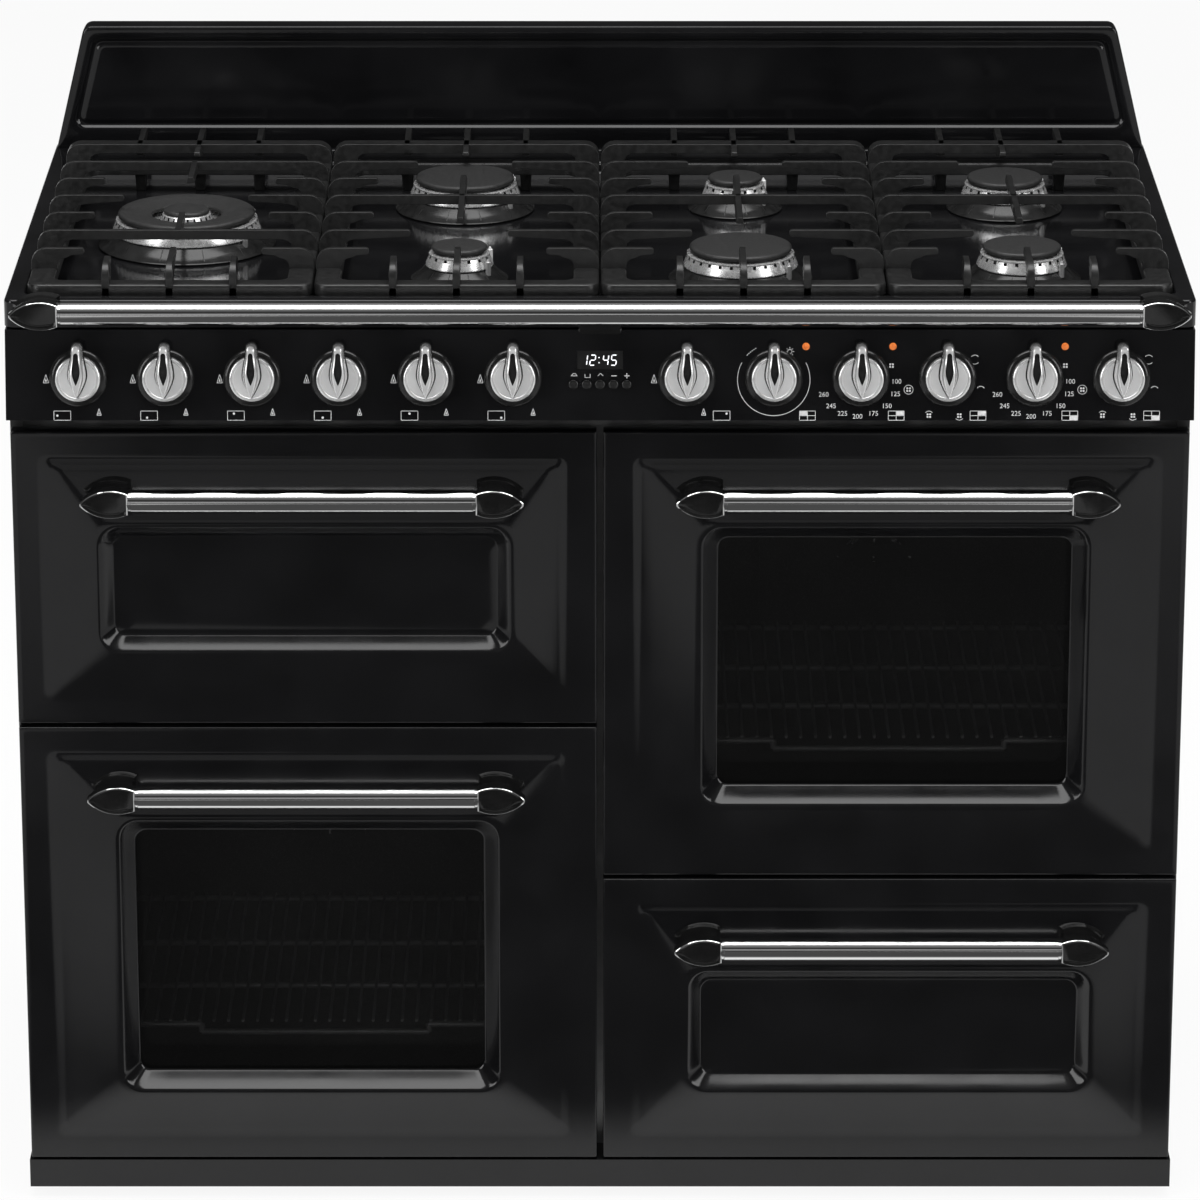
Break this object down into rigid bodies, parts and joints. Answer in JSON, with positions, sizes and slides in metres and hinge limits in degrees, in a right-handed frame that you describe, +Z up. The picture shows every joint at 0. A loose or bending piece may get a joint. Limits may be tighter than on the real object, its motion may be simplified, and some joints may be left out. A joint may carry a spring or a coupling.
{
  "type": "range cooker",
  "caption": "Wide free-standing range cooker: gas hob with cast iron pan supports, sloping control panel, front rail and drop-down doors for grill, ovens and storage.",
  "frame": {"origin": "on the floor under the middle of the outside box", "axes": "+X to the right as seen from the front, +Y from the doors to the wall, +Z up"},
  "size_m": [1.1, 0.656, 1.025],
  "materials": {
    "black_enamel": "gloss",
    "casing_steel": "satin",
    "oven_enamel": "gloss speckled enamel",
    "chrome": "polished",
    "steel_wire": "satin",
    "fan_aluminium": "cast and turned",
    "cast_iron": "matt enamelled",
    "cap_enamel": "matt enamel",
    "smoked_glass": "smoked",
    "button_plastic": "gloss"
  },
  "bodies": {
    "cooker": {"base_plinth": "black_enamel", "side_panels": "casing_steel", "back_panel": "casing_steel", "front_frame": "casing_steel", "grill_cavity": "oven_enamel", "left_oven_cavity": "oven_enamel", "right_oven_cavity": "oven_enamel", "storage_compartment": "oven_enamel", "hob_top": "black_enamel", "backguard": "black_enamel", "control_panel": "black_enamel", "clock_and_lamps": "button_plastic", "valve_and_switch_rail": "steel_wire", "front_rail": "chrome", "burner_spreaders": "fan_aluminium", "heating_elements": "steel_wire", "oven_fan_covers": "oven_enamel"},
    "grill_door": {"grill_door_panel": "black_enamel", "grill_door_liner": "oven_enamel", "grill_door_handle": "chrome"},
    "left_oven_door": {"left_oven_door_panel": "black_enamel", "left_oven_door_liner": "oven_enamel", "left_oven_door_handle": "chrome", "left_oven_door_glass": "smoked_glass"},
    "right_oven_door": {"right_oven_door_panel": "black_enamel", "right_oven_door_liner": "oven_enamel", "right_oven_door_handle": "chrome", "right_oven_door_glass": "smoked_glass"},
    "storage_door": {"storage_door_panel": "black_enamel", "storage_door_liner": "oven_enamel", "storage_door_handle": "chrome"},
    "left_oven_rack": {"left_oven_rack": "steel_wire"},
    "left_oven_fan": {"left_oven_fan": "fan_aluminium"},
    "right_oven_rack": {"right_oven_rack": "steel_wire"},
    "right_oven_fan": {"right_oven_fan": "fan_aluminium"},
    "knob_1": {"knob_1": "chrome"},
    "knob_2": {"knob_2": "chrome"},
    "knob_3": {"knob_3": "chrome"},
    "knob_4": {"knob_4": "chrome"},
    "knob_5": {"knob_5": "chrome"},
    "knob_6": {"knob_6": "chrome"},
    "knob_7": {"knob_7": "chrome"},
    "knob_8": {"knob_8": "chrome"},
    "knob_9": {"knob_9": "chrome"},
    "knob_10": {"knob_10": "chrome"},
    "knob_11": {"knob_11": "chrome"},
    "knob_12": {"knob_12": "chrome"},
    "clock_button_1": {"clock_button_1": "button_plastic"},
    "clock_button_2": {"clock_button_2": "button_plastic"},
    "clock_button_3": {"clock_button_3": "button_plastic"},
    "clock_button_4": {"clock_button_4": "button_plastic"},
    "clock_button_5": {"clock_button_5": "button_plastic"},
    "pan_support_1": {"pan_support_1": "cast_iron"},
    "burner_caps_1": {"burner_caps_1": "cap_enamel"},
    "pan_support_2": {"pan_support_2": "cast_iron"},
    "burner_caps_2": {"burner_caps_2": "cap_enamel"},
    "pan_support_3": {"pan_support_3": "cast_iron"},
    "burner_caps_3": {"burner_caps_3": "cap_enamel"},
    "pan_support_4": {"pan_support_4": "cast_iron"},
    "burner_caps_4": {"burner_caps_4": "cap_enamel"}
  },
  "joints": [
    {"name": "grill_door_hinge", "type": "hinge", "parent": "cooker", "child": "grill_door", "pos_m": [-0.2755, -0.266, 0.496], "axis": [1, 0, 0], "range_deg": [0, 90]},
    {"name": "left_oven_door_hinge", "type": "hinge", "parent": "cooker", "child": "left_oven_door", "pos_m": [-0.2755, -0.266, 0.053], "axis": [1, 0, 0], "range_deg": [0, 90]},
    {"name": "right_oven_door_hinge", "type": "hinge", "parent": "cooker", "child": "right_oven_door", "pos_m": [0.2755, -0.266, 0.3435], "axis": [1, 0, 0], "range_deg": [0, 90]},
    {"name": "storage_door_hinge", "type": "hinge", "parent": "cooker", "child": "storage_door", "pos_m": [0.2755, -0.266, 0.053], "axis": [1, 0, 0], "range_deg": [0, 90]},
    {"name": "left_oven_rack_slide", "type": "slide", "parent": "cooker", "child": "left_oven_rack", "axis": [0, -1, 0], "range_m": [0, 0.2]},
    {"name": "left_oven_fan_spin", "type": "hinge", "parent": "cooker", "child": "left_oven_fan", "pos_m": [-0.2755, 0.16, 0.26], "axis": [0, 1, 0], "continuous": true},
    {"name": "right_oven_rack_slide", "type": "slide", "parent": "cooker", "child": "right_oven_rack", "axis": [0, -1, 0], "range_m": [0, 0.2]},
    {"name": "right_oven_fan_spin", "type": "hinge", "parent": "cooker", "child": "right_oven_fan", "pos_m": [0.2755, 0.16, 0.5505], "axis": [0, 1, 0], "continuous": true},
    {"name": "knob_1_turn", "type": "hinge", "parent": "cooker", "child": "knob_1", "pos_m": [-0.4812, -0.29067, 0.8285], "axis": [0, -0.9874, 0.1582], "range_deg": [0, 215]},
    {"name": "knob_2_turn", "type": "hinge", "parent": "cooker", "child": "knob_2", "pos_m": [-0.401, -0.29067, 0.8285], "axis": [0, -0.9874, 0.1582], "range_deg": [0, 215]},
    {"name": "knob_3_turn", "type": "hinge", "parent": "cooker", "child": "knob_3", "pos_m": [-0.3208, -0.29067, 0.8285], "axis": [0, -0.9874, 0.1582], "range_deg": [0, 215]},
    {"name": "knob_4_turn", "type": "hinge", "parent": "cooker", "child": "knob_4", "pos_m": [-0.2406, -0.29067, 0.8285], "axis": [0, -0.9874, 0.1582], "range_deg": [0, 215]},
    {"name": "knob_5_turn", "type": "hinge", "parent": "cooker", "child": "knob_5", "pos_m": [-0.1604, -0.29067, 0.8285], "axis": [0, -0.9874, 0.1582], "range_deg": [0, 215]},
    {"name": "knob_6_turn", "type": "hinge", "parent": "cooker", "child": "knob_6", "pos_m": [-0.0802, -0.29067, 0.8285], "axis": [0, -0.9874, 0.1582], "range_deg": [0, 215]},
    {"name": "knob_7_turn", "type": "hinge", "parent": "cooker", "child": "knob_7", "pos_m": [0.0802, -0.29067, 0.8285], "axis": [0, -0.9874, 0.1582], "range_deg": [0, 215]},
    {"name": "knob_8_turn", "type": "hinge", "parent": "cooker", "child": "knob_8", "pos_m": [0.1604, -0.29067, 0.8285], "axis": [0, -0.9874, 0.1582], "range_deg": [-325, 0]},
    {"name": "knob_9_turn", "type": "hinge", "parent": "cooker", "child": "knob_9", "pos_m": [0.2406, -0.29067, 0.8285], "axis": [0, -0.9874, 0.1582], "range_deg": [-250, 0]},
    {"name": "knob_10_turn", "type": "hinge", "parent": "cooker", "child": "knob_10", "pos_m": [0.3208, -0.29067, 0.8285], "axis": [0, -0.9874, 0.1582], "range_deg": [-305, 0]},
    {"name": "knob_11_turn", "type": "hinge", "parent": "cooker", "child": "knob_11", "pos_m": [0.401, -0.29067, 0.8285], "axis": [0, -0.9874, 0.1582], "range_deg": [-250, 0]},
    {"name": "knob_12_turn", "type": "hinge", "parent": "cooker", "child": "knob_12", "pos_m": [0.4812, -0.29067, 0.8285], "axis": [0, -0.9874, 0.1582], "range_deg": [-305, 0]},
    {"name": "clock_button_1_press", "type": "slide", "parent": "cooker", "child": "clock_button_1", "axis": [0, 0.9874, -0.1582], "range_m": [0, 0.0015], "stiffness_N_per_m": 400, "springref_m": -0.001},
    {"name": "clock_button_2_press", "type": "slide", "parent": "cooker", "child": "clock_button_2", "axis": [0, 0.9874, -0.1582], "range_m": [0, 0.0015], "stiffness_N_per_m": 400, "springref_m": -0.001},
    {"name": "clock_button_3_press", "type": "slide", "parent": "cooker", "child": "clock_button_3", "axis": [0, 0.9874, -0.1582], "range_m": [0, 0.0015], "stiffness_N_per_m": 400, "springref_m": -0.001},
    {"name": "clock_button_4_press", "type": "slide", "parent": "cooker", "child": "clock_button_4", "axis": [0, 0.9874, -0.1582], "range_m": [0, 0.0015], "stiffness_N_per_m": 400, "springref_m": -0.001},
    {"name": "clock_button_5_press", "type": "slide", "parent": "cooker", "child": "clock_button_5", "axis": [0, 0.9874, -0.1582], "range_m": [0, 0.0015], "stiffness_N_per_m": 400, "springref_m": -0.001},
    {"name": "pan_support_1_lift", "type": "slide", "parent": "cooker", "child": "pan_support_1", "axis": [0, 0, 1], "range_m": [0, 0.12]},
    {"name": "burner_caps_1_lift", "type": "slide", "parent": "cooker", "child": "burner_caps_1", "axis": [0, 0, 1], "range_m": [0, 0.06]},
    {"name": "pan_support_2_lift", "type": "slide", "parent": "cooker", "child": "pan_support_2", "axis": [0, 0, 1], "range_m": [0, 0.12]},
    {"name": "burner_caps_2_lift", "type": "slide", "parent": "cooker", "child": "burner_caps_2", "axis": [0, 0, 1], "range_m": [0, 0.06]},
    {"name": "pan_support_3_lift", "type": "slide", "parent": "cooker", "child": "pan_support_3", "axis": [0, 0, 1], "range_m": [0, 0.12]},
    {"name": "burner_caps_3_lift", "type": "slide", "parent": "cooker", "child": "burner_caps_3", "axis": [0, 0, 1], "range_m": [0, 0.06]},
    {"name": "pan_support_4_lift", "type": "slide", "parent": "cooker", "child": "pan_support_4", "axis": [0, 0, 1], "range_m": [0, 0.12]},
    {"name": "burner_caps_4_lift", "type": "slide", "parent": "cooker", "child": "burner_caps_4", "axis": [0, 0, 1], "range_m": [0, 0.06]}
  ],
  "couplings": [
    {"joint": "left_oven_rack_slide", "follows": "left_oven_door_hinge", "m_per_rad": 0.127},
    {"joint": "right_oven_rack_slide", "follows": "right_oven_door_hinge", "m_per_rad": 0.127},
    {"joint": "burner_caps_1_lift", "follows": "pan_support_1_lift", "ratio": 0.5},
    {"joint": "burner_caps_2_lift", "follows": "pan_support_2_lift", "ratio": 0.5},
    {"joint": "burner_caps_3_lift", "follows": "pan_support_3_lift", "ratio": 0.5},
    {"joint": "burner_caps_4_lift", "follows": "pan_support_4_lift", "ratio": 0.5}
  ]
}
